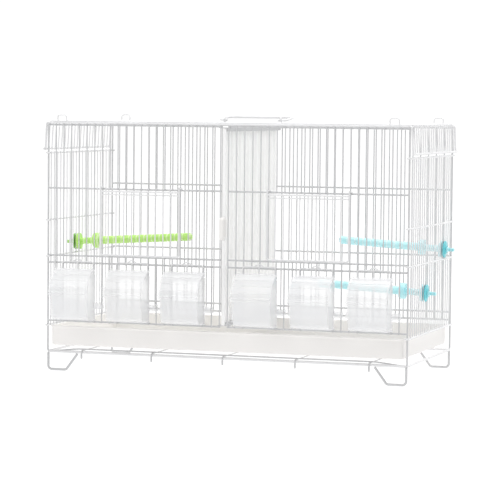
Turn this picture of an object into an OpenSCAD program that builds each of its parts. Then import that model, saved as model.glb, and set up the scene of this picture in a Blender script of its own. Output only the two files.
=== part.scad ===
// Canary breeding cage: a white wire cage for two pairs, with a pull-out divider,
// two lift-up doors, six hung feeders over small gates, three perches and a tray.
// Millimetres, +Z up. Origin: on the ground, in the middle of the four corner posts.

/* [Cage] */
// Width between the middles of the corner posts
cage_w = 600; // [580:1:640]
// Depth between the front and back wires
cage_d = 280; // [270:1:300]
// Height of the top wires above the ground
cage_h = 404; // [395:1:420]

/* [Wire] */
// Diameter of the upright wires
wire_d = 2; // [1.8:0.1:2.2]
// Diameter of the rails, corner posts, door frames and top rods
rail_d = 3; // [2.8:0.1:3.2]
// Diameter of the rods in the base frame, the feet and the handle
rod_d = 4; // [3.8:0.1:4.2]
// Depth that a welded wire sinks into the rail behind it
weld = 0.4; // [0.3:0.05:0.5]

/* [Heights] */
// Middle of the base rods
base_z = 31; // [28:1:32]
// Bottom rails of the end walls
side_rail_z = 73.4; // [72:0.2:74]
// Bottom rails of the front and back walls
low_rail_z = 81; // [80:0.5:82]
// Second rail of the back wall
back_rail_z = 94; // [90:1:98]
// Top rail of the feeder openings
feeder_rail_z = 175.5; // [174:0.5:177]
// Rail under the doors
sill_z = 187; // [186:0.5:188]
// Rail over the doors
lintel_z = 295.5; // [292:0.5:298]
// Upper rail of the end walls
side_mid_z = 243.5; // [240:0.5:250]
// Top rail of the end walls
side_top_z = 352; // [346:1:353]

/* [Moving parts] */
// How far a door lifts
door_travel = 90; // [60:1:92]
// How far a feeder gate lifts
gate_travel = 80; // [50:1:84]
// Angle at which the handle rests above the top
handle_rest = 6; // [4:1:15]

/* [Feeders] */
// Outer width of a feeder's hood
feeder_w = 66; // [64:1:68]
// Outer radius of the rounded hood
hood_r = 40; // [38:1:41]
// Wall thickness of the feeder
feeder_wall = 1.6; // [1.4:0.1:1.8]

/* [Tray and divider] */
// Width of the tray's body
tray_w = 587.6; // [570:0.2:587.6]
// Height of the tray's rim above the ground
tray_top_z = 75; // [70:0.5:76]
// Thickness of the tray's walls
tray_wall = 2; // [1.5:0.1:3]
// Thickness of the divider over its ribs
divider_t = 5; // [4:0.5:5.5]

/* [Perches] */
// Diameter of the perch rods
perch_d = 13; // [12:0.5:14]
// Upward tilt of the perches, in degrees
perch_tilt = 3.5; // [2:0.5:4]
// Number of ribs on the long perch's rod
long_ribs = 12; // [9:1:13]
// Number of ribs on the short perches' rods
short_ribs = 10; // [8:1:11]

/* [Hidden] */
$fn = 32;
WHITE = [0.93, 0.93, 0.93];
CREAM = [0.94, 0.92, 0.90];
CLEAR = [0.88, 0.91, 0.93];
GREEN = [0.49, 0.80, 0.24];
BLUE = [0.43, 0.84, 0.92];

// Clearance round a pin or a guide, and between parts that slide past each other
slack = 0.5;
wire_r = wire_d / 2;
rail_r = rail_d / 2;
rod_r = rod_d / 2;
gaps_wide = 45;
gaps_deep = 21;
pitch = cage_w / gaps_wide;
pitch_y = cage_d / gaps_deep;
front_y = -cage_d / 2;
back_y = cage_d / 2;
half_w = cage_w / 2;
last = gaps_wide;
// The divider's slot is the middle gap, between upright mid and the next
mid = (gaps_wide - 1) / 2;
// x of upright wire i, counted from the left, and y of end-wall wire j, from the front
function wire_x(i) = -half_w + i * pitch;
function wire_y(j) = front_y + j * pitch_y;
// The rails lie behind the uprights, welded to them
rail_back = rail_r + wire_r - weld;
front_rail_y = front_y + rail_back;
back_rail_y = back_y - rail_back;
// The top wires lie on the top rods, and the walls end under those
top_wire_z = cage_h - wire_r;
top_rod_z = top_wire_z - rail_back;
wall_top_z = top_rod_z - rail_r;
top_rail_z = wall_top_z - rail_r - 0.5;
// Gates slide close in front of the front wall, doors in front of the gates
eye_r = wire_d + slack;
gate_y = front_y - eye_r - wire_d;
door_y = gate_y - wire_r - slack - rail_r;

// Middle wires of the six feeder openings, and half an opening in gaps
feeder_wires = [4, 11, 18, 27, 34, 41];
opening_half = 2;
// Edge wires of the two doors
door_wires = [[mid - 15, mid - 5], [mid + 6, mid + 16]];

// ---- Wire shapes -----------------------------------------------------------------------
module bar_x(x0, x1, y, z, d) { translate([x0, y, z]) rotate([0, 90, 0]) cylinder(h = x1 - x0, d = d); }
module bar_y(y0, y1, x, z, d) { translate([x, y0, z]) rotate([-90, 0, 0]) cylinder(h = y1 - y0, d = d); }
module bar_z(z0, z1, x, y, d) { translate([x, y, z0]) cylinder(h = z1 - z0, d = d); }
// A round bar between points a and b of the XY plane
module bar2(a, b, d) {
    v = b - a;
    translate([a[0], a[1], 0]) rotate([0, 90, atan2(v[1], v[0])]) cylinder(h = norm(v), d = d);
}
function cross2(a, b) = a[0] * b[1] - a[1] * b[0];
// Turn in degrees at corner p of a path that comes from a and goes on to b
function turn_at(a, p, b) = atan2(cross2(p - a, b - p), (p - a) * (b - p));
// An open wire through the points p of the XY plane, of diameter d, bent at radius r
module bent_wire(p, d, r) {
    n = len(p);
    turn = [for (i = [0:n - 1]) i == 0 || i == n - 1 ? 0 : turn_at(p[i - 1], p[i], p[i + 1])];
    cut = [for (t = turn) r * tan(abs(t) / 2)];
    for (i = [0:n - 2]) {
        u = (p[i + 1] - p[i]) / norm(p[i + 1] - p[i]);
        bar2(p[i] + cut[i] * u, p[i + 1] - cut[i + 1] * u, d);
    }
    for (i = [1:1:n - 2]) {
        u = (p[i] - p[i - 1]) / norm(p[i] - p[i - 1]);
        side = turn[i] > 0 ? 1 : -1;
        centre = p[i] - cut[i] * u + side * r * [-u[1], u[0]];
        start = atan2(u[1], u[0]) - side * 90 + min(turn[i], 0);
        translate([centre[0], centre[1], 0]) ring_part(r, d, start, abs(turn[i]));
    }
}
// A part of a wire ring round the Z axis, from angle a0 through the angle sweep
module ring_part(r, d, a0, sweep) {
    rotate([0, 0, a0]) rotate_extrude(angle = sweep) translate([r, 0]) circle(d = d);
}
// An eye that rides on an upright wire at x and height z, open towards the cage's inside
module guide_eye(x, z) { translate([x, front_y, z]) ring_part(eye_r, wire_d, -245, 310); }
// Turns a profile drawn as [forward, up] into a body of width w across the X axis
module across(w) { rotate([90, 0, -90]) linear_extrude(w, center = true) children(); }

// ---- Base ------------------------------------------------------------------------------
runner_count = 5;
runner_step = 120;
runner_z = base_z + rod_r + wire_r - weld;
runner_front_y = front_y - rod_r - wire_r - 0.1;
stub_drop = 12;
second_rod_y = front_y + 9;
corner_bend = 4;

module base_frame() color(WHITE) {
    translate([0, 0, base_z]) for (a = [0, 180]) rotate([0, 0, a])
        bent_wire([[0, front_y], [half_w, front_y], [half_w, back_y], [0, back_y]],
                  rod_d, corner_bend);
    bar_x(-half_w + weld, half_w - weld, second_rod_y, base_z, rail_d);
}
// Five wires that carry the tray; their front ends turn down ahead of the front rod
module tray_runners() color(WHITE) for (k = [0:runner_count - 1])
    translate([(k - (runner_count - 1) / 2) * runner_step, 0, 0]) rotate([90, 0, 90])
        bent_wire([[back_y, runner_z + weld], [runner_front_y, runner_z + weld],
                   [runner_front_y, runner_z - stub_drop]], wire_d, 2);

// A foot: a rod bent down from the corner, along the ground, and back up on a 4 in 3 slope
foot_run = 31;
foot_rise = base_z - rod_d;
foot_in = 1;
foot_slope = foot_rise - 0.9;
module foot(x, y) translate([x, y, 0]) mirror([x > 0 ? 1 : 0, 0, 0]) rotate([90, 0, 0])
    bent_wire([[foot_in, rod_r + foot_rise + 0.1], [foot_in, rod_r], [foot_in + foot_run, rod_r],
               [foot_in + foot_run + foot_slope * 3 / 4, rod_r + foot_slope]], rod_d, 6);
module feet() color(WHITE) for (x = [-half_w, half_w], y = [front_y, back_y]) foot(x, y);

module corner_posts() color(WHITE) for (x = [-half_w, half_w], y = [front_y, back_y])
    bar_z(base_z + rod_r, wall_top_z - 0.3, x, y, rail_d);

// ---- Front wall ------------------------------------------------------------------------
// It is one welded grille, held here as flat pieces round its doorways and feeder openings
rail_low = low_rail_z - rail_r;
feeder_rail_low = feeder_rail_z - rail_r;
lintel_low = lintel_z - rail_r;
post_side = half_w - rail_r;
// Uprights from wire a to wire b, between heights z0 and z1, on rails at the heights zs
module front_grille(a, b, z0, z1, zs) {
    for (i = [a:b]) bar_z(z0, z1, wire_x(i), front_y, wire_d);
    x0 = a == 1 ? -post_side : wire_x(a) - wire_r;
    x1 = b == last - 1 ? post_side : wire_x(b) + wire_r;
    for (z = zs) bar_x(x0, x1, front_rail_y, z, rail_d);
}
module front_upper(a, b) front_grille(a, b, lintel_low, wall_top_z, [lintel_z, top_rail_z]);
// The uprights beside a doorway, with their part of the sill and feeder rails
module front_jambs(a, door, b) {
    front_grille(a, door[0], feeder_rail_low, lintel_low, [feeder_rail_z, sill_z]);
    front_grille(door[1], b, feeder_rail_low, lintel_low, [feeder_rail_z, sill_z]);
}
// The two rails under a doorway, and the low rail across each feeder opening
module front_rails(door, openings) {
    for (i = [door[0] + 1:door[1] - 1])
        bar_z(feeder_rail_low, sill_z + rail_r, wire_x(i), front_y, wire_d);
    for (z = [feeder_rail_z, sill_z])
        bar_x(wire_x(door[0]) + wire_r, wire_x(door[1]) - wire_r, front_rail_y, z, rail_d);
    for (c = openings) bar_x(wire_x(c - opening_half) + wire_r, wire_x(c + opening_half) - wire_r,
                             front_rail_y, low_rail_z, rail_d);
}
// The uprights between the feeder openings, with their part of the low rail
module front_piers(a, openings, b) {
    starts = concat([a], [for (c = openings) c + opening_half]);
    ends = concat([for (c = openings) c - opening_half], [b]);
    for (k = [0:len(starts) - 1])
        front_grille(starts[k], ends[k], rail_low, feeder_rail_low, [low_rail_z]);
}
left_openings = [for (k = [0:2]) feeder_wires[k]];
right_openings = [for (k = [3:5]) feeder_wires[k]];
module front_upper_left() color(WHITE) front_upper(1, mid);
module front_upper_right() color(WHITE) front_upper(mid + 1, last - 1);
module front_jambs_left() color(WHITE) front_jambs(1, door_wires[0], mid);
module front_jambs_right() color(WHITE) front_jambs(mid + 1, door_wires[1], last - 1);
module front_rails_left() color(WHITE) front_rails(door_wires[0], left_openings);
module front_rails_right() color(WHITE) front_rails(door_wires[1], right_openings);
module front_piers_left() color(WHITE) front_piers(1, left_openings, mid);
module front_piers_right() color(WHITE) front_piers(mid + 1, right_openings, last - 1);

// ---- Back, end and top walls -----------------------------------------------------------
module back_wall() color(WHITE) {
    for (i = [1:last - 1]) bar_z(rail_low, wall_top_z, wire_x(i), back_y, wire_d);
    for (z = [low_rail_z, back_rail_z, sill_z, lintel_z, top_rail_z])
        bar_x(-post_side, post_side, back_rail_y, z, rail_d);
}
// The end walls' rails end in hooks that reach round the corner posts
hook_r = rail_d + 0.15;
end_wire_x = half_w + hook_r - rail_back;
hook_turn = 150;
module end_wall() {
    for (j = [1:gaps_deep - 1])
        bar_z(side_rail_z - rail_r, side_top_z + rail_r, end_wire_x, wire_y(j), wire_d);
    for (z = [side_rail_z, sill_z - 2, side_mid_z, side_top_z]) translate([0, 0, z]) {
        bar_y(front_y, back_y, half_w + hook_r, 0, rail_d);
        for (s = [0, 1]) mirror([0, s, 0]) translate([half_w, back_y, 0])
            ring_part(hook_r, rail_d, 0, hook_turn);
    }
}
module end_wall_right() color(WHITE) end_wall();
module end_wall_left() color(WHITE) mirror([1, 0, 0]) end_wall();

// The top's wires run along the cage and bend down over the ends as two skirts
top_flat = half_w - 2;
top_end_x = half_w - 4.5;
eye_x = 48;
cross_rods = [-top_end_x, -172, -eye_x, eye_x, 172, top_end_x];
skirt_lean = 3;
skirt_h = 47;
skirt_rail_h = 2;
skirt_bend = 3.5;
skirt_start = 1.7;
module top_grille() color(WHITE) {
    for (j = [1:gaps_deep - 1]) bar_x(-top_flat, top_flat, wire_y(j), top_wire_z, wire_d);
    for (y = [front_y, back_y]) bar_x(-top_flat, top_flat, y, top_rod_z, rail_d);
    for (x = cross_rods) bar_y(front_y, back_y, x, top_rod_z, rail_d);
}
// A skirt is drawn upright from the ends of the top's wires, and leaned outwards as a whole
skirt_bend_x = skirt_start + skirt_bend;
module skirt_wire(y, drop, d) translate([0, y, -drop]) rotate([90, 0, 0])
    bent_wire([[0, 0], [skirt_bend_x, 0], [skirt_bend_x, drop - skirt_h]], d, skirt_bend);
module skirt() translate([top_flat, 0, top_wire_z]) rotate([0, -skirt_lean, 0]) {
    for (j = [1:gaps_deep - 1]) skirt_wire(wire_y(j), 0, wire_d);
    for (y = [front_y, back_y]) skirt_wire(y, top_wire_z - top_rod_z, rail_d);
    bar_y(front_y - rail_d, back_y + rail_d, skirt_bend_x + rail_back, skirt_rail_h - skirt_h, rail_d);
}
module top_skirt_right() color(WHITE) skirt();
module top_skirt_left() color(WHITE) mirror([1, 0, 0]) skirt();

// Four wire arches that hold the feet of a cage stacked on top
clip_w = 15;
clip_h = 11;
clip_x = 276;
clip_lean = 12;
module stacking_clips() color(WHITE) for (x = [-clip_x, clip_x], y = [front_y, back_y])
    translate([x, y, top_rod_z + rail_r]) rotate([90 + (y < 0 ? -1 : 1) * -clip_lean, 0, 0])
        bent_wire([[-clip_w / 2, 0], [-clip_w / 2, clip_h], [clip_w / 2, clip_h],
                   [clip_w / 2, 0]], wire_d, 4);

// ---- Handle ----------------------------------------------------------------------------
handle_w = 112;
handle_reach = 42;
pin_reach = 13;
handle_eye_r = rod_r + slack + 1.2;
eye_d = 2.4;
handle_z = top_rod_z + rail_r + handle_eye_r + eye_d / 2;
module handle() color(WHITE) translate([0, 0, handle_z]) rotate([handle_rest, 0, 0])
    bent_wire([[-handle_w / 2 + pin_reach, 0], [-handle_w / 2, 0], [-handle_w / 2, handle_reach],
               [handle_w / 2, handle_reach], [handle_w / 2, 0], [handle_w / 2 - pin_reach, 0]],
              rod_d, 6);
module handle_eyes() color(WHITE) for (x = [-eye_x, eye_x])
    translate([x, 0, handle_z]) rotate([0, 90, 0]) ring_part(handle_eye_r, eye_d, 0, 360);

// ---- Tray ------------------------------------------------------------------------------
tray_low_z = runner_z + weld + wire_r + 0.2;
tray_front_y = front_y - 2;
tray_back_y = back_y - 3;
tray_bend = 6;
rim_out = 1.6;
rim_h = 2.5;
// A rectangle with round corners of radius r, from corner a to corner b
module round_plate(a, b, r, h) linear_extrude(h) {
    translate(a + [r, 0]) square(b - a - [2 * r, 0]);
    translate(a + [0, r]) square(b - a - [0, 2 * r]);
    for (x = [a[0] + r, b[0] - r], y = [a[1] + r, b[1] - r]) translate([x, y]) circle(r);
}
module tray() color(CREAM) difference() {
    a = [-tray_w / 2, tray_front_y];
    b = [tray_w / 2, tray_back_y];
    out = [rim_out, rim_out];
    in = [tray_wall, tray_wall];
    union() {
        translate([0, 0, tray_low_z]) round_plate(a, b, tray_bend, tray_top_z - tray_low_z);
        translate([0, 0, tray_top_z - rim_h])
            round_plate(a - out, b + [rim_out, 0], tray_bend, rim_h);
    }
    translate([0, 0, tray_low_z + tray_wall])
        round_plate(a + in, b - in, tray_bend - tray_wall, tray_top_z - tray_low_z);
}

// ---- Divider ---------------------------------------------------------------------------
// A sheet folded into upright ribs behind a solid front edge, between two channels
channel_w = 20;
channel_wall = 1;
lip_h = 6;
channel_low_z = low_rail_z + rail_r;
channel_top_z = top_rail_z - rail_r;
channel_end = back_y - wire_r - 0.2;
divider_low_z = channel_low_z + channel_wall + 0.3;
divider_high_z = channel_top_z - channel_wall - 0.3;
divider_front_y = front_y - 3;
divider_edge = 8;
rib_pitch = 10;
rib_count = 27;
sheet_t = 1.2;
// One side of the folded sheet: a line of flats joined by slopes, moved by s across the sheet
function fold_line(s) = [for (k = [0:rib_count - 1], c = [0, 1])
    let (y0 = divider_front_y + divider_edge + k * rib_pitch)
    [(k % 2 == 0 ? -1 : 1) * (divider_t - sheet_t) / 2 + s, y0 + c * rib_pitch * 0.6]];
function reversed(v) = [for (i = [len(v) - 1:-1:0]) v[i]];
module divider() color(CREAM) translate([0, 0, divider_low_z])
    linear_extrude(divider_high_z - divider_low_z)
        polygon(concat([[-divider_t / 2, divider_front_y]], fold_line(-sheet_t / 2),
            reversed(fold_line(sheet_t / 2)), [[divider_t / 2, divider_front_y + divider_edge],
            [divider_t / 2, divider_front_y]]));
knob_z = 237;
knob_h = 36;
knob_out = 13;
knob_t = 7;
knob_grip = 4;
knob_bend = 7;
// A flat tab with a slot behind that takes the divider's edge
module divider_knob() color(CREAM) translate([0, divider_front_y, knob_z]) difference() {
    translate([-knob_t / 2, 0, 0]) rotate([90, 0, 90]) linear_extrude(knob_t) {
        translate([-knob_out + knob_bend, -knob_h / 2])
            square([knob_out + knob_grip - knob_bend, knob_h]);
        translate([-knob_out, -knob_h / 2 + knob_bend]) square([knob_out, knob_h - 2 * knob_bend]);
        for (z = [-1, 1]) translate([-knob_out + knob_bend, z * (knob_h / 2 - knob_bend)])
            circle(knob_bend);
    }
    translate([-divider_t / 2 - 0.02, -0.02, -knob_h])
        cube([divider_t + 0.04, knob_grip + 1, 2 * knob_h]);
}
// A channel: a flat strip with two lips that point up the local Z axis
module channel() {
    translate([-channel_w / 2, -channel_end, 0]) cube([channel_w, 2 * channel_end, channel_wall]);
    for (s = [-1, 1]) translate([s * (divider_t / 2 + slack + channel_wall / 2) - channel_wall / 2,
                                 -channel_end, 0]) cube([channel_wall, 2 * channel_end, lip_h]);
}
module divider_channel_bottom() color(WHITE) translate([0, 0, channel_low_z]) channel();
module divider_channel_top() color(WHITE) translate([0, 0, channel_top_z]) mirror([0, 0, 1]) channel();

// ---- Doors and gates -------------------------------------------------------------------
door_low_z = sill_z + rail_r + 1.5;
door_high_z = lintel_z - 3.5;
door_bar_drop = 5;
door_bar_d = 2.6;
door_eye_z = lintel_z + rail_r + wire_r + 0.3;
module door(edges) {
    x0 = wire_x(edges[0]);
    x1 = wire_x(edges[1]);
    middle = (x0 + x1) / 2;
    translate([middle, door_y, 0]) rotate([90, 0, 0]) for (s = [0, 1]) mirror([s, 0, 0])
        bent_wire([[0, door_low_z], [(x1 - x0) / 2, door_low_z],
                   [(x1 - x0) / 2, door_high_z + rail_r]], rail_d, 4);
    for (i = [edges[0] + 1:edges[1] - 1]) bar_z(door_low_z, door_high_z, wire_x(i), door_y, wire_d);
    bar_x(x0, x1, door_y, door_high_z, door_bar_d);
    bar_x(x0, x1, door_y, door_high_z - door_bar_drop, wire_d);
}
// The door's two guides: a post on top of each side, bent back into an eye round an upright
guide_post_d = 2.4;
guide_stem_d = 1.7;
module door_guides(edges) for (i = edges) {
    bar_z(door_high_z + rail_r, door_eye_z + wire_d, wire_x(i), door_y, guide_post_d);
    bar_y(door_y, front_y - eye_r, wire_x(i), door_eye_z, guide_stem_d);
    guide_eye(wire_x(i), door_eye_z);
}
module door_left() color(WHITE) door(door_wires[0]);
module door_right() color(WHITE) door(door_wires[1]);
module door_guides_left() color(WHITE) door_guides(door_wires[0]);
module door_guides_right() color(WHITE) door_guides(door_wires[1]);

gate_low_z = low_rail_z + rail_r + wire_r + 0.5;
gate_high_z = feeder_rail_z + rail_r + wire_r;
bump_r = 8.5;
bump_start = 32;
// A gate: a light frame with one middle wire and a finger arch on top
module gate(k) color(WHITE) {
    x = wire_x(feeder_wires[k - 1]);
    w = opening_half * pitch;
    translate([x, gate_y, 0]) rotate([90, 0, 0]) {
        for (s = [0, 1]) mirror([s, 0, 0])
            bent_wire([[0, gate_low_z], [w, gate_low_z], [w, gate_high_z], [0, gate_high_z]],
                      wire_d, 3);
        translate([0, gate_high_z - bump_r * sin(bump_start), 0])
            ring_part(bump_r, wire_d, bump_start, 180 - 2 * bump_start);
    }
    bar_z(gate_low_z, gate_high_z, x, gate_y, wire_d);
}
// The eyes at a gate's foot, round the uprights at its edges
module gate_guides(k) color(WHITE) for (s = [-1, 1])
    guide_eye(wire_x(feeder_wires[k - 1] + s * opening_half), gate_low_z);
module gate_1() gate(1);
module gate_2() gate(2);
module gate_3() gate(3);
module gate_4() gate(4);
module gate_5() gate(5);
module gate_6() gate(6);
module gate_guides_1() gate_guides(1);
module gate_guides_2() gate_guides(2);
module gate_guides_3() gate_guides(3);
module gate_guides_4() gate_guides(4);
module gate_guides_5() gate_guides(5);
module gate_guides_6() gate_guides(6);

// ---- Feeders ---------------------------------------------------------------------------
// Profiles are drawn as [forward of the feeder's back, height]
feeder_back_y = gate_y - wire_r - slack;
feeder_low_z = 86;
trough_top_z = 126;
hood_mid = [2, 128];
cheek_r = hood_r - feeder_wall - 0.6;
hinge_at = [4.6, 162.6];
hinge_pin_r = 1.3;
barrel_r = 4.2;
boss_r = 3.2;
pin_slack = 0.35;
cheek_x = feeder_w / 2 - 2;
trough_front = hood_mid[0] + cheek_r;
trough_bend = 10;
trough_lean = 5;
back_plate_z = 158;
// The clips that grip the wires each side of the opening
clip_wire_x = 3 * pitch;
grip_low_z = 103;
grip_h = 10;
grip_wall = 2;
// Points of an arc
function arc(c, r, a0, a1, n) = [for (k = [0:n]) let (a = a0 + (a1 - a0) * k / n)
    c + r * [cos(a), sin(a)]];
// The trough's side view, shrunk by t at the bottom, the front and the back
function trough(t) = concat(
    [[t, trough_top_z], [t, feeder_low_z + t]],
    arc([trough_front - trough_lean - trough_bend, feeder_low_z + trough_bend], trough_bend - t,
        -90, -7, 8),
    [[trough_front - t, trough_top_z]]);
module cheek_view() {
    polygon(trough(0));
    // a cheek fills the hood, but behind the hinge it leaves room for the hood's edge
    intersection() {
        translate(hood_mid) circle(cheek_r, $fn = 64);
        union() {
            translate([hinge_at[0], trough_top_z - 1]) square(hood_r + 2);
            translate([0, trough_top_z - 1]) square([hood_r, back_plate_z - trough_top_z + 1]);
        }
    }
    translate(hinge_at) circle(boss_r);
}
module feeder_tub(k) color(CLEAR) {
    inner_w = 2 * (cheek_x - feeder_wall);
    translate([wire_x(feeder_wires[k - 1]), feeder_back_y, 0]) {
        difference() {
            across(2 * cheek_x) cheek_view();
            // the trough, open above
            across(inner_w) polygon(trough(feeder_wall));
            across(inner_w) translate([feeder_wall, trough_top_z - 1]) square(hood_r * 2);
            across(inner_w) translate([-1, back_plate_z]) square(hood_r * 2);
            // where the bird reaches in
            across(inner_w - 6) translate([-1, trough_top_z - 8])
                square([feeder_wall + 2, back_plate_z - trough_top_z + 2]);
            // bores for the hood's hinge pin
            translate([0, -hinge_at[0], hinge_at[1]]) rotate([0, 90, 0])
                cylinder(h = feeder_w, r = hinge_pin_r + pin_slack, center = true);
        }
        for (s = [0, 1]) mirror([s, 0, 0]) feeder_grip();
    }
}
// A forked clip on the feeder's side, open towards the cage, astride an upright wire
module feeder_grip() {
    reach = front_y + 1.6 - feeder_back_y;
    fork_w = wire_d + 2 * (grip_wall + 0.3);
    difference() {
        union() {
            translate([cheek_x - 0.5, -6, grip_low_z])
                cube([clip_wire_x + fork_w / 2 - cheek_x + 0.5, 6, grip_h]);
            translate([clip_wire_x - fork_w / 2, -6, grip_low_z]) cube([fork_w, 6 + reach, grip_h]);
        }
        translate([clip_wire_x - wire_r - 0.3, front_y - feeder_back_y - wire_r - 0.3,
                   grip_low_z - 1]) cube([wire_d + 0.6, reach, grip_h + 2]);
    }
}
rib_r = 0.9;
rib_step = 17;
hood_top_a = 86;
hood_low_a = -4;
hood_ribs = [for (k = [0:4]) k * rib_step];
lip_a = 5;
lip_r = 1.5;
module feeder_hood(k) color(CLEAR) translate([wire_x(feeder_wires[k - 1]), feeder_back_y, 0]) {
    across(feeder_w) translate(hood_mid) difference() {
        intersection() {
            circle(hood_r, $fn = 64);
            // the wedge between the hood's low edge and its hinge
            polygon([[0, 0], 2 * hood_r * [cos(hood_low_a), sin(hood_low_a)],
                     [2 * hood_r, 2 * hood_r], 2 * hood_r * [cos(hood_top_a), sin(hood_top_a)]]);
        }
        circle(hood_r - feeder_wall, $fn = 64);
    }
    // ribs, and a lip to lift the hood by
    for (a = hood_ribs) translate([0, -hood_mid[0] - hood_r * cos(a), hood_mid[1] + hood_r * sin(a)])
        rotate([0, 90, 0]) cylinder(h = feeder_w - 4, r = rib_r, center = true, $fn = 16);
    translate([0, -hood_mid[0] - (hood_r + 0.2) * cos(lip_a),
               hood_mid[1] + (hood_r + 0.2) * sin(lip_a)]) rotate([0, 90, 0])
        cylinder(h = feeder_w, r = lip_r, center = true);
    // hinge barrel between the cheeks, and the pin that runs on into their bores
    translate([0, -hinge_at[0], hinge_at[1]]) rotate([0, 90, 0]) {
        cylinder(h = 2 * (cheek_x - feeder_wall - 0.4), r = barrel_r, center = true);
        cylinder(h = 2 * (cheek_x + 0.6), r = hinge_pin_r, center = true);
    }
}
module feeder_tub_1() feeder_tub(1);
module feeder_tub_2() feeder_tub(2);
module feeder_tub_3() feeder_tub(3);
module feeder_tub_4() feeder_tub(4);
module feeder_tub_5() feeder_tub(5);
module feeder_tub_6() feeder_tub(6);
module feeder_hood_1() feeder_hood(1);
module feeder_hood_2() feeder_hood(2);
module feeder_hood_3() feeder_hood(3);
module feeder_hood_4() feeder_hood(4);
module feeder_hood_5() feeder_hood(5);
module feeder_hood_6() feeder_hood(6);

// ---- Perches ---------------------------------------------------------------------------
// A perch is drawn along +X from the end wall's wires, and turned for the side it hangs on
flange_d = 27;
flange_t = 3;
neck_d = 10.5;
neck_l = 26;
collar_t = 9;
groove_w = 2;
groove_depth = 0.9;
perch_rib = 13.4;
bolt_d = 8;
bolt_out = 9;
tip_d = 5;
tip_out = 19;
nut_t = 4;
// Where the flange's face and the nut's face stand, from the wires' middles: the tilted
// flange meets the two wires at its edge, and the nut clears them all the way round
flange_at = wire_r + sqrt(pow(flange_d, 2) - pow(pitch_y, 2)) / 2 * sin(perch_tilt);
nut_at = wire_r + flange_d / 2 * sin(perch_tilt) + 0.4;
// The long perch hangs on the left wall and the short ones on the right
// [end-wall gap counted from the front, height of the bolt]
green_place = [9, 203];
high_place = [16, 201];
low_place = [7, 138];
// Outline of the rod's ribs: radius and distance along the perch
function rod_outline(n, x0) = [for (k = [0:n - 1], c = [0:3])
    [perch_d / 2 - (c == 0 || c == 3 ? groove_depth : 0),
     x0 + k * perch_rib + [0, groove_w / 2, perch_rib - groove_w / 2, perch_rib][c]]];
module perch(n) {
    x1 = flange_at + flange_t;
    x2 = x1 + neck_l;
    x3 = x2 + collar_t;
    x4 = x3 + n * perch_rib;
    rotate([0, 90, 0]) rotate_extrude() polygon(concat(
        [[0, -tip_out], [tip_d / 2, -tip_out], [tip_d / 2, -bolt_out], [bolt_d / 2, -bolt_out],
         [bolt_d / 2, flange_at], [flange_d / 2, flange_at], [flange_d / 2, x1], [neck_d / 2, x1],
         [neck_d / 2, x2], [flange_d / 2 - 1, x2], [flange_d / 2 - 1, x3]],
        rod_outline(n, x3), [[perch_d / 2 - 3, x4 + 2], [0, x4 + 2]]));
}
// Sets a perch's parts at a place on the left wall, or on the right wall if s is 1
module on_wall(place, s) mirror([s, 0, 0])
    translate([-end_wire_x, (wire_y(place[0]) + wire_y(place[0] + 1)) / 2, place[1]])
        rotate([0, -perch_tilt, 0]) children();
module perch_green() color(GREEN) on_wall(green_place, 0) perch(long_ribs);
module perch_blue_high() color(BLUE) on_wall(high_place, 1) perch(short_ribs);
module perch_blue_low() color(BLUE) on_wall(low_place, 1) perch(short_ribs);
// A round nut that turns on the bolt outside the wall
module perch_nut() rotate([0, -90, 0]) translate([0, 0, nut_at]) difference() {
    cylinder(h = nut_t, d = flange_d);
    translate([0, 0, -1]) cylinder(h = nut_t + 2, d = bolt_d + 0.7);
}
module perch_nut_green() color(GREEN) on_wall(green_place, 0) perch_nut();
module perch_nut_blue_high() color(BLUE) on_wall(high_place, 1) perch_nut();
module perch_nut_blue_low() color(BLUE) on_wall(low_place, 1) perch_nut();

base_frame();
tray_runners();
feet();
corner_posts();
front_upper_left();
front_upper_right();
front_jambs_left();
front_jambs_right();
front_rails_left();
front_rails_right();
front_piers_left();
front_piers_right();
back_wall();
end_wall_left();
end_wall_right();
top_grille();
top_skirt_left();
top_skirt_right();
stacking_clips();
handle();
handle_eyes();
tray();
divider();
divider_knob();
divider_channel_top();
divider_channel_bottom();
door_left();
door_right();
door_guides_left();
door_guides_right();
gate_1();
gate_2();
gate_3();
gate_4();
gate_5();
gate_6();
gate_guides_1();
gate_guides_2();
gate_guides_3();
gate_guides_4();
gate_guides_5();
gate_guides_6();
feeder_tub_1();
feeder_tub_2();
feeder_tub_3();
feeder_tub_4();
feeder_tub_5();
feeder_tub_6();
feeder_hood_1();
feeder_hood_2();
feeder_hood_3();
feeder_hood_4();
feeder_hood_5();
feeder_hood_6();
perch_green();
perch_blue_high();
perch_blue_low();
perch_nut_green();
perch_nut_blue_high();
perch_nut_blue_low();
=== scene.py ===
"""Looks of the canary breeding cage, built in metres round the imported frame."""

import logging
import math
from dataclasses import dataclass, field
from enum import Enum
from typing import Any, ClassVar

import bpy
import numpy as np
from mathutils import Matrix, Vector

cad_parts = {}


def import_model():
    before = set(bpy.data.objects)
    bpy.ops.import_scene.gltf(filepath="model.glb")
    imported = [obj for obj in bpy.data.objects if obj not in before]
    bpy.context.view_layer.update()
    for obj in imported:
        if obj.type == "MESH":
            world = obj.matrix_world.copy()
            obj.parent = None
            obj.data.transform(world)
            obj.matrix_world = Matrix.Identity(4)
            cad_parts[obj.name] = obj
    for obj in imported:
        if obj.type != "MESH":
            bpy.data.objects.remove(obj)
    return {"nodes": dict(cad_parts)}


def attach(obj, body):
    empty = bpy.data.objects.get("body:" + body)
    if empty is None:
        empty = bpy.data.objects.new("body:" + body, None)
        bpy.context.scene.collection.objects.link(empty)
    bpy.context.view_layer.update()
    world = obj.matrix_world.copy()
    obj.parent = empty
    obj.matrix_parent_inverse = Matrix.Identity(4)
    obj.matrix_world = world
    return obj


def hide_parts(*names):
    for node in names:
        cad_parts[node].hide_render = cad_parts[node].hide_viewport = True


log = logging.getLogger("canary_cage")
MM = 0.001
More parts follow.
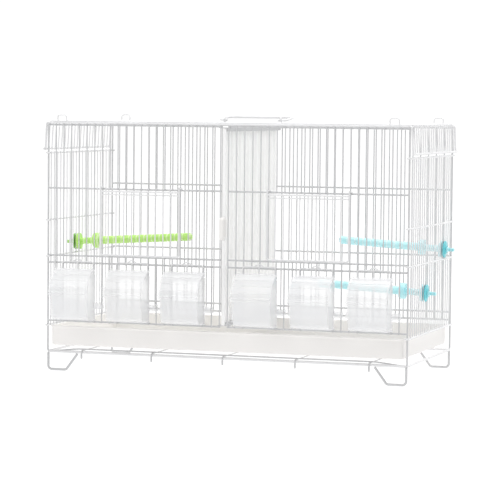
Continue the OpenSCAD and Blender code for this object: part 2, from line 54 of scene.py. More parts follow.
# A ball's last ring stops this many radians up, so that a small flat face closes its pole.
NEAR_POLE = 1.5
Colour = tuple[float, float, float, float]
Nodes = dict[str, bpy.types.Object]


# ---- Shader maths ----------------------------------------------------------------------
class Graph:
    """A node tree being filled."""

    def __init__(self, tree: bpy.types.NodeTree) -> None:
        """Empties the tree and keeps it."""
        self.tree = tree
        tree.nodes.clear()

    def add(self, kind: str, settings: dict[str, Any] | None = None,
            **inputs: Any) -> bpy.types.Node:
        """Adds one node.

        Args:
            kind: Blender's node type, such as "ShaderNodeTexNoise".
            settings: properties set before the sockets; "stops" fills a colour ramp.
            inputs: socket name, with _ for a blank, or in0, in1... for a socket's place,
                to a value, a Value or an output socket.

        Returns:
            The new node.
        """
        node = self.tree.nodes.new(kind)
        for key, value in (settings or {}).items():
            if key == "stops":
                self._fill_ramp(node, value)
            else:
                setattr(node, key, value)
        for key, value in inputs.items():
            numbered = key[:2] == "in" and key[2:].isdigit()
            self.feed(node.inputs[int(key[2:]) if numbered else key.replace("_", " ")], value)
        return node

    def feed(self, socket: bpy.types.NodeSocket, value: Any) -> None:
        """Links an output to the socket, or sets its value."""
        if isinstance(value, Value):
            value = value.socket
        if isinstance(value, bpy.types.NodeSocket):
            self.tree.links.new(value, socket)
        else:
            socket.default_value = value

    @staticmethod
    def _fill_ramp(node: bpy.types.Node, stops: list[tuple[float, Colour]]) -> None:
        """Sets a colour ramp's stops, given as (place, colour)."""
        elements = node.color_ramp.elements
        while len(elements) < len(stops):
            elements.new(1.0)
        for element, (place, colour) in zip(elements, stops):
            element.position, element.color = place, colour

    def value(self, node: bpy.types.Node, output: int | str = 0) -> "Value":
        """Wraps one of a node's outputs for arithmetic."""
        return Value(self, node.outputs[output])


class Value:
    """A number socket on which arithmetic adds Math nodes."""

    def __init__(self, graph: Graph, socket: bpy.types.NodeSocket) -> None:
        """Keeps the graph and the socket."""
        self.graph, self.socket = graph, socket

    def _math(self, operation: str, first: Any, second: Any) -> "Value":
        """Adds one Math node and wraps its result."""
        node = self.graph.add("ShaderNodeMath", {"operation": operation}, in0=first, in1=second)
        return self.graph.value(node)

    def __add__(self, other: Any) -> "Value":
        """Sum."""
        return self._math("ADD", self, other)

    def __mul__(self, other: Any) -> "Value":
        """Product."""
        return self._math("MULTIPLY", self, other)

    def __sub__(self, other: Any) -> "Value":
        """Difference."""
        return self._math("SUBTRACT", self, other)

    def __rsub__(self, other: Any) -> "Value":
        """Difference from a plain number."""
        return self._math("SUBTRACT", other, self)

    __radd__, __rmul__ = __add__, __mul__

    def above(self, edge: float) -> "Value":
        """1 where the value is over the edge, else 0."""
        return self._math("GREATER_THAN", self, edge)

    def folded(self, length: float) -> "Value":
        """The value folded to and fro between 0 and the length."""
        return self._math("PINGPONG", self, length)


class Grain(Enum):
    """Sizes of surface variation, as noise scale per metre."""

    HAND = 9.0
    PATCH = 45.0
    SPECK = 420.0
    PEEL = 1500.0


@dataclass(frozen=True)
class Finish:
    """A moulded or coated surface with soft colour variation and a fine uneven skin.

    Its colour drifts between low and high, and its roughness by the spread. The skin's height
    and the depth to which light scatters in it are the same for every finish.
    """

    name: str
    low: Colour
    high: Colour
    roughness: float
    spread: float
    bump: float
    skin: Grain = Grain.PEEL
    coat: float = 0.0
    subsurface: float = 0.0
    alpha: float = 1.0
    glow: float = 0.0

    HAND_SHARE: ClassVar[float] = 0.6
    DRIFT: ClassVar[tuple[float, float]] = (0.35, 0.65)
    SKIN_HEIGHT: ClassVar[float] = 0.4 * MM
    SCATTER: ClassVar[float] = 6 * MM
    COAT_ROUGHNESS: ClassVar[float] = 0.15

    def noise(self, graph: Graph, grain: Grain, detail: float = 2.0) -> Value:
        """Noise on Object coordinates at the grain's size."""
        place = graph.add("ShaderNodeTexCoord").outputs["Object"]
        node = graph.add("ShaderNodeTexNoise", Vector=place, Scale=grain.value, Detail=detail)
        return graph.value(node)

    def colour(self, graph: Graph) -> Any:
        """Colour between low and high, drifting with the hand-sized and patch-sized noise."""
        hand, patch = self.noise(graph, Grain.HAND), self.noise(graph, Grain.PATCH)
        drift = hand * self.HAND_SHARE + patch * (1 - self.HAND_SHARE)
        stops = list(zip(self.DRIFT, (self.low, self.high)))
        return graph.add("ShaderNodeValToRGB", {"stops": stops}, in0=drift).outputs["Color"]

    def material(self) -> bpy.types.Material:
        """Builds the material, once for each name.

        Returns:
            The material.
        """
        if self.name in bpy.data.materials:
            return bpy.data.materials[self.name]
        material = bpy.data.materials.new(self.name)
        material.use_nodes = True
        graph = Graph(material.node_tree)
        rough = self.noise(graph, Grain.SPECK) * self.spread + (self.roughness - self.spread / 2)
        skin = graph.add("ShaderNodeBump", Strength=self.bump, Distance=self.SKIN_HEIGHT,
                         Height=self.noise(graph, self.skin, 1.0))
        shader = graph.add("ShaderNodeBsdfPrincipled", Base_Color=self.colour(graph),
                           Roughness=rough, Normal=skin.outputs[0], Coat_Weight=self.coat,
                           Coat_Roughness=self.COAT_ROUGHNESS, Alpha=self.alpha,
                           Subsurface_Weight=self.subsurface, Subsurface_Scale=self.SCATTER,
                           Subsurface_Radius=(1.0, 1.0, 1.0), Emission_Strength=self.glow)
        graph.add("ShaderNodeOutputMaterial", Surface=shader.outputs[0])
        return material


@dataclass(frozen=True)
class MouldedRibs(Finish):
    """Perch plastic, paler in the grooves between the rod's ribs."""

    groove: Colour = (0.8, 0.95, 0.6, 1.0)
    start: float = 0.0
    pitch: float = 13.4 * MM
    width: float = 2.6 * MM
    paleness: float = 0.75

    def colour(self, graph: Graph) -> Any:
        """The plain colour, mixed to the pale one in bands one pitch apart along X.

        A band is where the distance along X from the first groove, folded at the pitch, is
        under the groove's width.
        """
        plain = super().colour(graph)
        place = graph.add("ShaderNodeTexCoord").outputs["Object"]
        along = graph.value(graph.add("ShaderNodeSeparateXYZ", Vector=place), "X")
        band = 1.0 - (along - self.start).folded(self.pitch / 2).above(self.width / 2)
        mix = graph.add("ShaderNodeMix", {"data_type": "RGBA"}, in0=band * self.paleness,
                        in6=plain, in7=self.groove)
        return mix.outputs[2]


WIRE = Finish("white_coated_wire", (0.60, 0.605, 0.615, 1), (0.67, 0.67, 0.68, 1), 0.32, 0.14,
              0.10, Grain.SPECK, coat=0.25)
# Painted light: the same white coat as WIRE, painted lighter for the parts on which more light falls.
PAINTED_LIGHT_WIRE = Finish("painted_light_coated_wire", (0.80, 0.80, 0.81, 1), (0.86, 0.86, 0.87, 1), 0.32, 0.14,
                0.10, Grain.SPECK, coat=0.25)
TRAY = Finish("tray_plastic", (0.71, 0.69, 0.68, 1), (0.755, 0.74, 0.73, 1), 0.38, 0.10, 0.04,
              subsurface=0.3)
# Its glow is painted light: a faint glow that stands in for light passing through the thin sheet.
SHEET = Finish("divider_sheet", (0.93, 0.925, 0.91, 1), (0.96, 0.955, 0.945, 1), 0.42, 0.10, 0.04,
               subsurface=0.7, glow=0.04)
CLEAR = Finish("clear_moulded_plastic", (0.965, 0.97, 0.985, 1), (0.985, 0.985, 0.99, 1), 0.12,
               0.06, 0.05, Grain.PATCH, coat=0.4, alpha=0.42)
NUT_GREEN = Finish("green_nut", (0.25, 0.57, 0.10, 1), (0.33, 0.65, 0.15, 1), 0.34, 0.10, 0.04,
                   subsurface=0.1)
NUT_BLUE = Finish("blue_nut", (0.14, 0.63, 0.70, 1), (0.22, 0.73, 0.80, 1), 0.34, 0.10, 0.04,
                  subsurface=0.1)
ROD_GREEN = MouldedRibs("green_ribbed_plastic", (0.49, 0.85, 0.18, 1), (0.57, 0.90, 0.26, 1), 0.36,
                        0.1, 0.04, subsurface=0.12, groove=(0.80, 0.97, 0.58, 1),
                        start=-261.4 * MM)
ROD_BLUE = MouldedRibs("blue_ribbed_plastic", (0.52, 0.91, 0.97, 1), (0.60, 0.94, 0.98, 1), 0.36,
                       0.1, 0.04, subsurface=0.12, groove=(0.80, 0.97, 0.99, 1),
                       start=261.4 * MM)


# ---- Surfaces --------------------------------------------------------------------------
def smooth_object(name: str, points: np.ndarray, faces: list[list[int]],
                  finish: Finish) -> bpy.types.Object:
    """Makes a smooth-shaded mesh object at the origin.

    Args:
        name: the object's name.
        points: vertex places in metres, with X, Y and Z along the last axis.
        faces: vertex numbers of each face.
        finish: what the object is finished with.

    Returns:
        The object.
    """
    mesh = bpy.data.meshes.new(name)
    mesh.from_pydata(points.reshape(-1, 3).tolist(), [], faces)
    mesh.polygons.foreach_set("use_smooth", np.ones(len(mesh.polygons), bool))
    mesh.update()
    mesh.materials.append(finish.material())
    made = bpy.data.objects.new(name, mesh)
    bpy.context.scene.collection.objects.link(made)
    return made


def add_piece(name: str, points: np.ndarray, faces: list[list[int]], finish: Finish, body: str) -> bpy.types.Object:
    """Makes a smooth-shaded mesh object that rides on a body.

    Args:
        name: the piece's name.
        points: vertex places in metres, with X, Y and Z along the last axis.
        faces: vertex numbers of each face.
        finish: what the piece is finished with.
        body: the body that it rides on.

    Returns:
        The object.
    """
    piece = smooth_object(name, points, faces, finish)
    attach(piece, body)
    log.info("%s: %d faces", name, len(faces))
    return piece


def grid_faces(rows: int, columns: int, close_rows: bool = False,
               close_columns: bool = True) -> np.ndarray:
    """Quads of a grid of rows x columns points, joined end to end where asked.

    Args:
        rows: points along the first parameter.
        columns: points along the second parameter.
        close_rows: join the last row to the first.
        close_columns: join the last column to the first.

    Returns:
        Vertex numbers, shape (faces, 4).
    """
    i, j = np.indices((rows - (not close_rows), columns - (not close_columns))).reshape(2, -1)
    i2, j2 = (i + 1) % rows, (j + 1) % columns
    return np.stack([i * columns + j, i * columns + j2, i2 * columns + j2, i2 * columns + j], 1)


def once_round(sides: int) -> np.ndarray:
    """Angles in radians of equal steps once round."""
    return np.arange(sides) * 2 * math.pi / sides


def rounded_outline(half: tuple[float, float], radius: float,
                    steps: int) -> tuple[np.ndarray, np.ndarray]:
    """Outline of a rectangle with round corners, and its outward normals.

    Each point is a corner's centre plus the radius along the angle, with the angle going once
    round in equal steps of each quarter.

    Args:
        half: half the width and half the depth.
        radius: the corners' radius.
        steps: points in each corner.

    Returns:
        Points and normals, each of shape (4 * steps, 2), anticlockwise.
    """
    quarter = np.repeat(np.arange(4), steps)
    angle = (quarter + np.tile(np.linspace(0, 1, steps), 4)) * math.pi / 2
    sign = np.array([[1, 1], [-1, 1], [-1, -1], [1, -1]], float)[quarter]
    normal = np.stack([np.cos(angle), np.sin(angle)], 1)
    return sign * (np.array(half) - radius) + radius * normal, normal


def arc(centre: tuple[float, float], radius: float, start: float, end: float,
        steps: int = 5) -> np.ndarray:
    """Points of an arc in a profile's plane, angles in degrees."""
    angle = np.radians(np.linspace(start, end, steps))
    return np.array(centre) + radius * np.stack([np.cos(angle), np.sin(angle)], 1)


def tube_faces(rows: int, columns: int) -> list[np.ndarray]:
    """Faces of a tube through rings of points: its quads, and one flat face at each end."""
    ends = np.stack([np.arange(columns)[::-1], (rows - 1) * columns + np.arange(columns)])
    return [grid_faces(rows, columns), ends]


def capped_tube(rings: np.ndarray) -> list[list[int]]:
    """Faces of a closed tube through rings of points, as one list."""
    quads, ends = tube_faces(*rings.shape[:2])
    return quads.tolist() + ends.tolist()


def round_knob(low: float, sides: int, rings: int) -> tuple[np.ndarray, list[np.ndarray]]:
    """A unit ball cut off below an angle, closed at both ends.

    Its points are (cos a cos b, cos a sin b, sin a), with a from the low angle to nearly 90
    degrees and b once round.

    Args:
        low: the lowest angle in radians; 0 gives half a ball.
        sides: points once round.
        rings: rings from bottom to top.

    Returns:
        Points of shape (n, 3), and arrays of faces with four and with more corners.
    """
    a, b = np.meshgrid(np.linspace(low, NEAR_POLE, rings), once_round(sides), indexing="ij")
    points = np.stack([np.cos(a) * np.cos(b), np.cos(a) * np.sin(b), np.sin(a)], -1)
    return points.reshape(-1, 3), tube_faces(rings, sides)


def repeated(points: np.ndarray, faces: list[np.ndarray], sizes: np.ndarray,
             centres: np.ndarray) -> tuple[np.ndarray, list[list[int]]]:
    """Copies of a small shape, each scaled along the axes and put at its centre.

    Args:
        points: the shape's points, shape (m, 3).
        faces: its faces, one array for each number of corners.
        sizes: scale of each copy along X, Y and Z, shape (n, 3).
        centres: place of each copy, shape (n, 3).

    Returns:
        Points and faces of all the copies.
    """
    placed = points[None] * sizes[:, None] + centres[:, None]
    shifts = (np.arange(len(centres)) * len(points))[:, None, None]
    copied = [(kind[None] + shifts).reshape(-1, kind.shape[1]).tolist() for kind in faces]
    return placed.reshape(-1, 3), copied[0] + copied[1]


def dress(names: list[str], finish: Finish, nodes: Nodes) -> None:
    """Gives CAD nodes a finish."""
    for name in names:
        materials = nodes[name].data.materials
        materials.clear()
        materials.append(finish.material())
        log.info("%s: dressed in %s", name, finish.name)


# ---- Wire work -------------------------------------------------------------------------
def coated_wire(name: str, points: np.ndarray, faces: list[list[int]],
                finish: Finish = WIRE) -> None:
    """Adds a piece of coated wire that stays with the cage."""
    add_piece(name, points, faces, finish, "cage")


@dataclass
class WireWork:
    """The welded grilles: finish of every wire node, weld fillets and rounded wire ends.

    The rails are heights in millimetres, and the feeder wires are the numbers of the uprights in
    the middle of the feeder openings, counted from the left.
    """

    half_w: float = 300 * MM
    gaps_wide: int = 45
    gaps_deep: int = 21
    wire_r: float = 1 * MM
    weld: float = 0.4 * MM
    low_rail: float = 81 * MM
    front_rails: tuple[float, ...] = (175.5, 187, 295.5, 397.4)
    back_rails: tuple[float, ...] = (81, 94, 187, 295.5, 397.4)
    end_rails: tuple[float, ...] = (73.4, 185, 243.5, 352)
    feeder_wires: tuple[int, ...] = (4, 11, 18, 27, 34, 41)
    opening_half: int = 2
    end_wire_x: float = 301.05 * MM
    end_wire_low: float = 71.9 * MM
    end_wire_high: float = 353.5 * MM
    fillet: tuple[float, float, float] = (1.65 * MM, 0.75 * MM, 1.45 * MM)
    end_flatness: float = 0.7
    # Wire nodes starting with these names get the same coat painted lighter: painted light where more light falls.
    painted_light_prefixes: tuple[str, ...] = ("handle", "stacking_clips", "top_", "end_wall_", "base_frame",
                               "door_", "gate_")
    half_d: float = field(init=False)
    uprights: np.ndarray = field(init=False)
    end_places: np.ndarray = field(init=False)

    def __post_init__(self) -> None:
        """Works out where the uprights and the end walls' wires stand, one pitch apart.

        The pitch is the width over its gaps, and the depth is its own gaps of the same pitch.
        """
        pitch = 2 * self.half_w / self.gaps_wide
        self.half_d = self.gaps_deep * pitch / 2
        self.uprights = -self.half_w + pitch * np.arange(1, self.gaps_wide)
        self.end_places = -self.half_d + pitch * np.arange(1, self.gaps_deep)

    def dress_nodes(self, names: list[str], nodes: Nodes) -> None:
        """Gives the wire nodes their finish: the same white coat on all, painted lighter as painted light on those
        whose names start with the listed prefixes.

        Args:
            names: the wire nodes' names.
            nodes: all CAD nodes by name.
        """
        dress([name for name in names if not name.startswith(self.painted_light_prefixes)], WIRE, nodes)
        dress([name for name in names if name.startswith(self.painted_light_prefixes)], PAINTED_LIGHT_WIRE, nodes)

    def sunk(self, middle: float) -> float:
        """Distance of a weld's middle, where the wire sinks into the rail beside it."""
        return middle + self.wire_r - self.weld / 2

    def front_crossings(self) -> np.ndarray:
        """Where the front uprights and rails meet.

        The low rail meets only the uprights that reach down between the feeder openings.

        Returns:
            Places of the crossings, shape (n, 3).
        """
        number = np.arange(1, len(self.uprights) + 1)
        off_middle = np.abs(number[:, None] - np.array(self.feeder_wires))
        between = (off_middle >= self.opening_half).all(1)
        x, z = np.meshgrid(self.uprights, np.array(self.front_rails) * MM)
        x = np.concatenate([x.ravel(), self.uprights[between]])
        z = np.concatenate([z.ravel(), np.full(between.sum(), self.low_rail)])
        return np.stack([x, np.full_like(x, self.sunk(-self.half_d)), z], 1)

    def back_crossings(self) -> np.ndarray:
        """Where the back uprights and rails meet."""
        x, z = np.meshgrid(self.uprights, np.array(self.back_rails) * MM)
        y = np.full_like(x, -self.sunk(-self.half_d))
        return np.stack([x, y, z], -1).reshape(-1, 3)

    def end_crossings(self) -> np.ndarray:
        """Where the end walls' wires and rails meet, on both ends."""
        y, z, side = np.meshgrid(self.end_places, np.array(self.end_rails) * MM, [-1.0, 1.0])
        return np.stack([side * self.sunk(self.end_wire_x), y, z], -1).reshape(-1, 3)

    def fillets(self) -> None:
        """Adds the weld fillets: small balls, flattened towards the rail, at every crossing."""
        points, faces = round_knob(-NEAR_POLE, sides=8, rings=5)
        flat = np.array(self.fillet)
        for name, centres, size, finish in (
                ("front_weld_fillets", self.front_crossings(), flat, WIRE),
                ("back_weld_fillets", self.back_crossings(), flat, WIRE),
                # The end walls' fillets take the coat painted lighter as painted light, like their wires.
                ("end_weld_fillets", self.end_crossings(), flat[[1, 0, 2]], PAINTED_LIGHT_WIRE)):
            sizes = np.broadcast_to(size, centres.shape)
            coated_wire(name, *repeated(points, faces, sizes, centres), finish)

    def rounded_ends(self) -> None:
        """Adds half balls on the open ends of the end walls' wires."""
        y, side, end = np.meshgrid(self.end_places, [-1.0, 1.0],
                                   [self.end_wire_low, self.end_wire_high])
        centres = np.stack([side * self.end_wire_x, y, end], -1).reshape(-1, 3)
        up = np.where(centres[:, 2] == self.end_wire_high, 1.0, -1.0)
        points, faces = round_knob(0.0, sides=10, rings=3)
        sizes = self.wire_r * np.stack([up, np.ones_like(up), self.end_flatness * up], 1)
        # The ends take the coat painted lighter as painted light, like the end walls' wires.
        coated_wire("rounded_wire_ends", *repeated(points, faces, sizes, centres), PAINTED_LIGHT_WIRE)

    def build(self) -> None:
        """Adds the fillets and the rounded ends."""
        self.fillets()
        self.rounded_ends()


@dataclass
class StubSleeve:
    """The thicker coated ends of the tray runners, where they turn down at the front."""

    runners: int = 5
    step: float = 120 * MM
    y: float = -143.1 * MM
    radius: float = 1.6 * MM
    dome: float = 1.3 * MM
    dome_z: float = 21.9 * MM
    shoulder_z: float = 28.2 * MM
    neck: tuple[float, float] = (1.15 * MM, 29.0 * MM)
    sides: int = 12

    def build(self) -> None:
        """Adds the sleeves.

        Each is a profile of (radius, height) turned round the stub: a straight sleeve that
        narrows at the top and closes in a dome below.
        """
        profile = np.concatenate([
            arc((self.radius - self.dome, self.dome_z), self.dome, -80, 0),
            [[self.radius, self.shoulder_z], self.neck]])
        angle = once_round(self.sides)
        radius, height = profile[:, :1], np.repeat(profile[:, 1:], self.sides, 1)
        rings = np.stack([radius * np.cos(angle), radius * np.sin(angle), height], -1)
        x = (np.arange(self.runners) - self.runners // 2) * self.step
        centres = np.stack([x, np.full_like(x, self.y), np.zeros_like(x)], 1)
        placed = repeated(rings.reshape(-1, 3), tube_faces(*rings.shape[:2]),
                          np.ones_like(centres), centres)
        coated_wire("runner_stub_sleeves", *placed)


@dataclass
class TrayRest:
    """The rod that lies across the runners near the front, bent down at both ends."""

    half: float = 298.8 * MM
    y: float = -136 * MM
    radius: float = 1.25 * MM
    high: float = 35.95 * MM
    low: float = 31.3 * MM
    bend: float = 58 * MM
    rings: int = 97
    sides: int = 12

    def build(self) -> None:
        """Adds the rod.

        Its height falls from the middle's to the frame's by half a cosine wave over the last
        stretch at each end, and each ring is a circle across the path.
        """
        x = np.linspace(-self.half, self.half, self.rings)
        fall = np.clip((np.abs(x) - (self.half - self.bend)) / self.bend, 0, 1)
        z = self.high - (self.high - self.low) * (1 - np.cos(math.pi * fall)) / 2
        slope = np.arctan2(np.gradient(z), np.gradient(x))[:, None]
        turn = once_round(self.sides)[None]
        across, rise = self.radius * np.cos(turn), self.radius * np.sin(turn)
        rings = np.stack([x[:, None] - rise * np.sin(slope),
                          np.broadcast_to(self.y + across, (self.rings, self.sides)),
                          z[:, None] + rise * np.cos(slope)], -1)
        coated_wire("tray_rest_rod", rings, capped_tube(rings))


# ---- Tray and divider ------------------------------------------------------------------
@dataclass
class LoftedBlock:
    """A closed shell lofted through shrunk copies of one rounded outline."""

    half: tuple[float, float]
    radius: float
    centre: tuple[float, float]

    def points(self, profile: list[list[float]] | np.ndarray, steps: int = 8) -> np.ndarray:
        """Rings of the outline moved in by each profile point's first number, at its second.

        Args:
            profile: (inset, height) of each ring, shape (n, 2).
            steps: points in each corner.

        Returns:
            Points of shape (n, 4 * steps, 3).
        """
        outline, normal = rounded_outline(self.half, self.radius, steps)
        inset, height = np.moveaxis(np.array(profile)[:, :, None, None], 1, 0)
        ring = outline - inset * normal + np.array(self.centre)
        return np.concatenate([ring, np.broadcast_to(height, ring.shape[:2] + (1,))], -1)


@dataclass
class Tray:
    """The slide-out tray: a moulded shell with a rolled rim, on low bearers over the runners."""

    half_w: float = 293.8 * MM
    front: float = -142 * MM
    back: float = 137 * MM
    corner: float = 6 * MM
    low: float = 41.5 * MM
    top: float = 73.5 * MM
    rim_out: float = 1.6 * MM
    rim_h: float = 2.5 * MM
    wall: float = 2 * MM
    outer_bend: float = 3 * MM
    inner_bend: float = 4 * MM
    under_rim_bend: float = 0.6 * MM
    rim_bend: float = 0.9 * MM
    rim_top_bend: float = 1.2 * MM
    runner_top: float = 35.05 * MM
    bearers: tuple[float, ...] = (-60 * MM, 30 * MM, 122 * MM)
    bearer_half: tuple[float, float] = (279.8 * MM, 2 * MM)
    bearer_corner: float = 1.9 * MM
    bearer_bevel: tuple[float, float] = (0.6 * MM, 0.8 * MM)
    bearer_sunk: float = 0.3 * MM

    def profile(self) -> np.ndarray:
        """Wall section as (inset, height): up the outside, over the rim and down the inside."""
        outer, inner, under = self.outer_bend, self.inner_bend, self.under_rim_bend
        rim, rim_top, out = self.rim_bend, self.rim_top_bend, -self.rim_out
        rim_low = self.top - self.rim_h
        return np.concatenate([
            arc((outer, self.low + outer), outer, -90, -180),
            [[0, rim_low - self.wall]],
            arc((-under, rim_low - under), under, 0, 90, 3),
            arc((out + rim, rim_low + rim), rim, -90, -180),
            arc((out + rim_top, self.top - rim_top), rim_top, 180, 90),
            arc((self.wall - rim, self.top - rim), rim, 90, 0),
            arc((self.wall + inner, self.low + self.wall + inner), inner, 180, 270)])

    def build(self) -> None:
        """Makes the shell, with a flat face closing its floor above and below, and its bearers."""
        middle, half_d = (self.back + self.front) / 2, (self.back - self.front) / 2
        points = LoftedBlock((self.half_w, half_d), self.corner, (0, middle)).points(self.profile())
        shell = add_piece("tray_shell", points, capped_tube(points), TRAY, "tray")
        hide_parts("tray")
        bevel_in, bevel_up = self.bearer_bevel
        section = [[bevel_in, self.runner_top], [0, self.runner_top + bevel_up],
                   [0, self.low + self.bearer_sunk]]
        for number, y in enumerate(self.bearers, 1):
            rib = LoftedBlock(self.bearer_half, self.bearer_corner, (0, y)).points(section, 4)
            add_piece(f"tray_bearer_{number}", rib, capped_tube(rib), TRAY, "tray")


@dataclass
class Divider:
    """The divider's pull knob: a flat tab on its edge, with rounded edges and finger hollows."""

    front: float = -143 * MM
    low: float = 219 * MM
    height: float = 36 * MM
    out: float = 13 * MM
    grip: float = 4 * MM
    thick: float = 7 * MM
    edge: float = 2 * MM
    corner: float = 6.2 * MM
    hollow_in: tuple[float, float] = (4.5 * MM, 6.0 * MM)
    hollow_depth: float = 1.2 * MM

    def build(self, nodes: Nodes) -> None:
        """Dresses the sheet and makes the knob.

        The knob's outline is shrunk towards each face along a quarter circle; its rings stand
        across X.

        Args:
            nodes: the CAD nodes by name.
        """
        dress(["divider"], SHEET, nodes)
        half_t = self.thick / 2
        side = arc((self.edge, half_t - self.edge), self.edge, 180, 90)
        hollow = np.stack([self.hollow_in, [half_t, half_t - self.hollow_depth]], 1)
        upper = np.concatenate([side, hollow])
        profile = np.concatenate([(upper * [1, -1])[::-1], upper])
        block = LoftedBlock(((self.out + self.grip) / 2, self.height / 2), self.corner,
                            (self.front + (self.grip - self.out) / 2, self.low + self.height / 2))
        points = block.points(profile)[..., [2, 0, 1]]
        knob = add_piece("divider_pull_tab", points, capped_tube(points), TRAY, "divider")
        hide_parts("divider_knob")


# ---- Perches ---------------------------------------------------------------------------
@dataclass(frozen=True)
class RoundNut:
    """The nut outside the wall: a thin knurled plate with a hub, bored for the bolt.

    Distances are counted from the wall's wires, and are negative outside the cage.
    """

    near: float = -2.25 * MM
    plate: float = -4.4 * MM
    far: float = -6.2 * MM
    bore: float = 4.35 * MM
    rim: float = 13.3 * MM
    edge: float = 0.8 * MM
    hub: float = 8.0 * MM
    hub_foot: tuple[float, float] = (0.8 * MM, 0.3 * MM)
    sides: int = 96
    teeth: int = 24
    knurl: float = 0.022
    knurl_from: float = 10 * MM

    def points(self) -> np.ndarray:
        """Turns the section of (along, radius) round the X axis.

        The rim's radius is multiplied by 1 plus the knurl times the cosine of the angle times
        the number of teeth.

        Returns:
            Points of shape (section, sides, 3).
        """
        e, (foot_out, foot_up) = self.edge, self.hub_foot
        section = np.concatenate([
            [[self.near, self.bore], [self.near, self.rim - e]],
            arc((self.near - e, self.rim - e), e, 45, 90, 3),
            arc((self.plate + e, self.rim - e), e, 90, 180, 4),
            [[self.plate, self.hub + foot_out], [self.plate - foot_up, self.hub + foot_up]],
            arc((self.far + e, self.hub - e), e, 90, 180, 4),
            [[self.far, self.bore]]])
        along, radius = section[:, :1], section[:, 1:]
        angle = once_round(self.sides)
        on_rim = radius > self.knurl_from
        radius = radius * (1 + self.knurl * np.cos(self.teeth * angle) * on_rim)
        return np.stack([np.broadcast_to(along, radius.shape), radius * np.cos(angle),
                         radius * np.sin(angle)], -1)


@dataclass(frozen=True)
class BoltThread:
    """The thread on the bolt's thin end."""

    start: float = -17.6 * MM
    pitch: float = 1.9 * MM
    bolt: float = 2.45 * MM
    height: float = 0.42 * MM
    turns: int = 4
    run_out: float = 0.25
    least: float = 0.04
    steps: int = 18
    sides: int = 8

    def points(self) -> np.ndarray:
        """Carries a small circle along a helix.

        The circle's centre turns once round the bolt for each pitch along it. Its radius rises
        as a sine from almost nothing over the first run-out, and falls so over the last.

        Returns:
            Points of shape (turns * steps, sides, 3).
        """
        u = np.linspace(0, self.turns, self.turns * self.steps)[:, None]
        v = once_round(self.sides)[None]
        rise = np.clip(np.minimum(u, self.turns - u) / self.run_out, self.least, 1)
        ridge = self.height * np.sin(math.pi / 2 * rise)
        radius = self.bolt + ridge * np.cos(v)
        along = self.start + u * self.pitch + ridge * np.sin(v)
        angle = 2 * math.pi * u
        return np.stack([along, radius * np.cos(angle), radius * np.sin(angle)], -1)


@dataclass
class Perch:
    """A ribbed perch: its finish, the nut outside the wall and the bolt's threaded tip."""

    name: str
    side: int
    place: tuple[float, float]
    rod: Finish
    nut: Finish
    slot: str
    tilt: float = 3.5
    wall_x: float = WireWork.end_wire_x

    def set_on_wall(self, local: np.ndarray) -> np.ndarray:
        """Turns points drawn along +X by the tilt, and puts them at the wall, mirrored if right.

        Args:
            local: points with X along the perch into the cage, shape (..., 3).

        Returns:
            The points in the cage's frame.
        """
        t = math.radians(self.tilt)
        x = local[..., 0] * math.cos(t) - local[..., 2] * math.sin(t) - self.wall_x
        z = local[..., 0] * math.sin(t) + local[..., 2] * math.cos(t) + self.place[1]
        return np.stack([-self.side * x, local[..., 1] + self.place[0], z], -1)

    def outward(self, faces: list[list[int]]) -> list[list[int]]:
        """Turns faces drawn for the mirrored right wall round when the perch is on the left."""
        return faces if self.side > 0 else [face[::-1] for face in faces]

    def build(self, nodes: Nodes) -> None:
        """Dresses the rod, and makes the nut, which replaces the plain ring, and the thread."""
        dress([f"perch_{self.name}"], self.rod, nodes)
        local = RoundNut().points()
        faces = self.outward(grid_faces(*local.shape[:2], close_rows=True).tolist())
        nut = add_piece(f"knurled_nut_{self.name}", self.set_on_wall(local), faces, self.nut,
                        f"nut_{self.name}")
        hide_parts(f"perch_nut_{self.name}")
        local = BoltThread().points()
        add_piece(f"bolt_thread_{self.name}", self.set_on_wall(local),
                  self.outward(capped_tube(local)), self.nut, "cage")


PERCHES = (Perch("green", -1, (-13.333 * MM, 203 * MM), ROD_GREEN, NUT_GREEN, "green_plastic"),
           Perch("blue_high", 1, (80 * MM, 201 * MM), ROD_BLUE, NUT_BLUE, "blue_plastic"),
           Perch("blue_low", 1, (-40 * MM, 138 * MM), ROD_BLUE, NUT_BLUE, "blue_plastic"))


# ---- Stage, light and camera -----------------------------------------------------------
@dataclass(frozen=True)
class SoftLight:
    """A square soft light that points at the cage's middle."""

    name: str
    at: tuple[float, float, float]
    size: float
    power: float
    aim: tuple[float, float, float] = (0, 0, 0.2)

    def build(self) -> None:
        """Adds the light."""
        data = bpy.data.lights.new(self.name, "AREA")
        data.size, data.energy = self.size, self.power
        light = bpy.data.objects.new(self.name, data)
        bpy.context.scene.collection.objects.link(light)
        light.location = self.at
        towards = Vector(self.aim) - Vector(self.at)
        light.rotation_euler = towards.to_track_quat("-Z", "Y").to_euler()


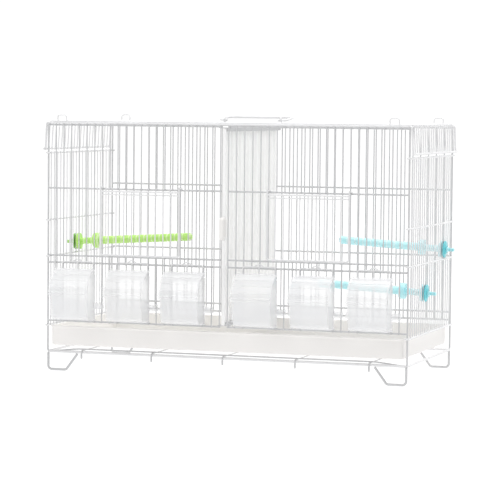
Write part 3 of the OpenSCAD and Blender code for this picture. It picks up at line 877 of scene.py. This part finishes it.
@dataclass
class Studio:
    """A lit white table that curves up behind, soft lights, and the photograph's camera."""

    table: Finish = Finish("studio_floor", (0.05, 0.05, 0.05, 1), (0.06, 0.06, 0.06, 1), 0.75,
                           0.05, 0.01, glow=1.0)
    reach: float = 9.0
    flat_rows: tuple[float, ...] = (-2.0, 0.0, 2.0)
    sweep: float = 2.5
    sweep_steps: int = 16
    height: float = 8.0
    columns: int = 9
    surround: float = 0.50
    lights: tuple[SoftLight, ...] = (SoftLight("key_light", (-1.8, -2.6, 2.6), 2.4, 26.0),
                                     SoftLight("top_light", (0.6, 0.4, 3.0), 3.0, 90.0))
    camera_at: tuple[float, float, float] = (1.22343, -3.72262, 0.43166)
    yaw: float = 0.3182
    pitch: float = -0.0602
    roll: float = 0.0092
    focal_px: float = 2403.975
    image_px: int = 500
    sensor: float = 36.0
    sight: float = 60.0

    def build_table(self) -> None:
        """Makes the table and its backdrop.

        The profile runs flat, turns up a quarter circle and climbs, and is carried along X.
        """
        flat = [[y, 0] for y in (-self.reach, *self.flat_rows)]
        bend = arc((self.reach - self.sweep, self.sweep), self.sweep, -90, 0, self.sweep_steps)
        y, z = np.concatenate([flat, bend, [[self.reach, self.height]]]).T[:, :, None]
        x = np.linspace(-self.reach, self.reach, self.columns)[None]
        points = np.stack(np.broadcast_arrays(x, y, z), -1)
        faces = grid_faces(*points.shape[:2], close_columns=False).tolist()
        smooth_object("studio_floor", points, faces, self.table)

    def build_light(self) -> None:
        """Sets the white surround and the soft lights."""
        world = bpy.data.worlds.new("studio_world")
        bpy.context.scene.world = world
        world.use_nodes = True
        graph = Graph(world.node_tree)
        sky = graph.add("ShaderNodeBackground", Color=(1.0, 1.0, 1.0, 1.0), Strength=self.surround)
        graph.add("ShaderNodeOutputWorld", Surface=sky.outputs[0])
        for light in self.lights:
            light.build()

    def build_camera(self) -> None:
        """Sets the camera from the fitted place, turn and focal length."""
        forward = np.array([-math.sin(self.yaw) * math.cos(self.pitch),
                            math.cos(self.yaw) * math.cos(self.pitch), math.sin(self.pitch)])
        right = np.array([math.cos(self.yaw), math.sin(self.yaw), 0.0])
        up = np.cross(right, forward)
        c, s = math.cos(self.roll), math.sin(self.roll)
        axes = np.stack([right * c + up * s, up * c - right * s, -forward], 1)
        data = bpy.data.cameras.new("photo_camera")
        data.sensor_width, data.clip_end = self.sensor, self.sight
        data.lens = self.focal_px * self.sensor / self.image_px
        camera = bpy.data.objects.new("photo_camera", data)
        bpy.context.scene.collection.objects.link(camera)
        camera.matrix_world = Matrix.Translation(self.camera_at) @ Matrix(axes.tolist()).to_4x4()
        bpy.context.scene.camera = camera

    def build(self) -> None:
        """Makes the camera, the table and the lights."""
        self.build_camera()
        self.build_table()
        self.build_light()
        bpy.context.scene.view_settings.view_transform = "Standard"


def main() -> None:
    """Loads the frame, dresses every node and adds the finer pieces."""
    logging.basicConfig(level=logging.INFO, format="%(name)s %(message)s")
    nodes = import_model()["nodes"]
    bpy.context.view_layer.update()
    Studio().build()
    feeders = [name for name in nodes if name.startswith("feeder_")]
    apart = {"divider", "divider_knob", "tray", *feeders}
    work = WireWork()
    work.dress_nodes([n for n in nodes if n not in apart and not n.startswith("perch_")], nodes)
    dress(feeders, CLEAR, nodes)
    work.build()
    StubSleeve().build()
    TrayRest().build()
    Tray().build()
    Divider().build(nodes)
    for perch in PERCHES:
        perch.build(nodes)


if __name__ == "__main__":
    main()
